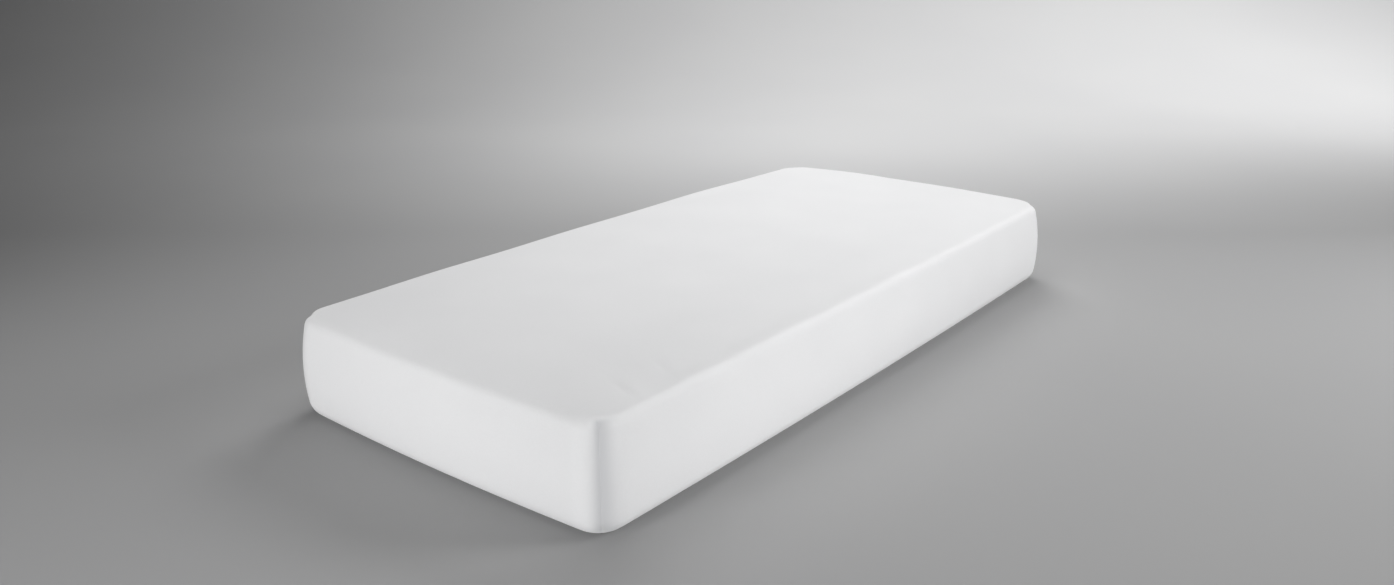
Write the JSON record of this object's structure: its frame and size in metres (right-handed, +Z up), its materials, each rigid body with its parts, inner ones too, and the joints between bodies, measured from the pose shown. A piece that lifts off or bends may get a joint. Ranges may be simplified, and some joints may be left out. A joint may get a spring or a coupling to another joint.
{
  "type": "mattress protector on a mattress",
  "caption": "Fitted white cloth mattress protector pulled over a plain single mattress, with soft rounded edges, upright corner seams and a hem turned under.",
  "frame": {"origin": "centre of the underside, where the turned-under cloth rests on the floor or bed base", "axes": "+Z up; +Y along the length, from the foot end to the head end; +X across the width, to the long side that faces the viewer's right when the foot end faces the viewer"},
  "size_m": [0.8998, 1.9, 0.23],
  "materials": {
    "protector_cloth": "smooth matt white cotton",
    "mattress_ticking": "plain off-white ticking, matt"
  },
  "bodies": {
    "root": {"mattress_protector": "protector_cloth", "mattress": "mattress_ticking"}
  },
  "joints": []
}
